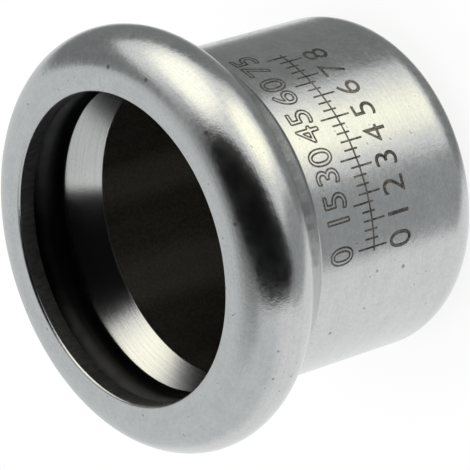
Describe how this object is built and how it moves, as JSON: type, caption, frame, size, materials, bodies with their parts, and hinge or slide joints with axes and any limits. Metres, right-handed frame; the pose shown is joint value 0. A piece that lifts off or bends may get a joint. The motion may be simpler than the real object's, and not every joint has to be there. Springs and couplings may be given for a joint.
{
  "type": "press fitting end cap",
  "caption": "Round stainless steel end cap for pressing onto a pipe, with a rolled bead round its mouth and a rubber sealing ring inside.",
  "frame": {"origin": "centre of the closed end's outer face, which the cap stands on", "axes": "+Z along the cap's axis, out of the mouth; X and Y are alike, because the cap is round"},
  "size_m": [0.0316, 0.0316, 0.0243],
  "materials": {
    "satin_steel": "satin, fine circumferential grain",
    "black_rubber": "smooth moulded rubber"
  },
  "bodies": {
    "root": {"cap_body": "satin_steel", "sealing_ring": "black_rubber"}
  },
  "joints": []
}
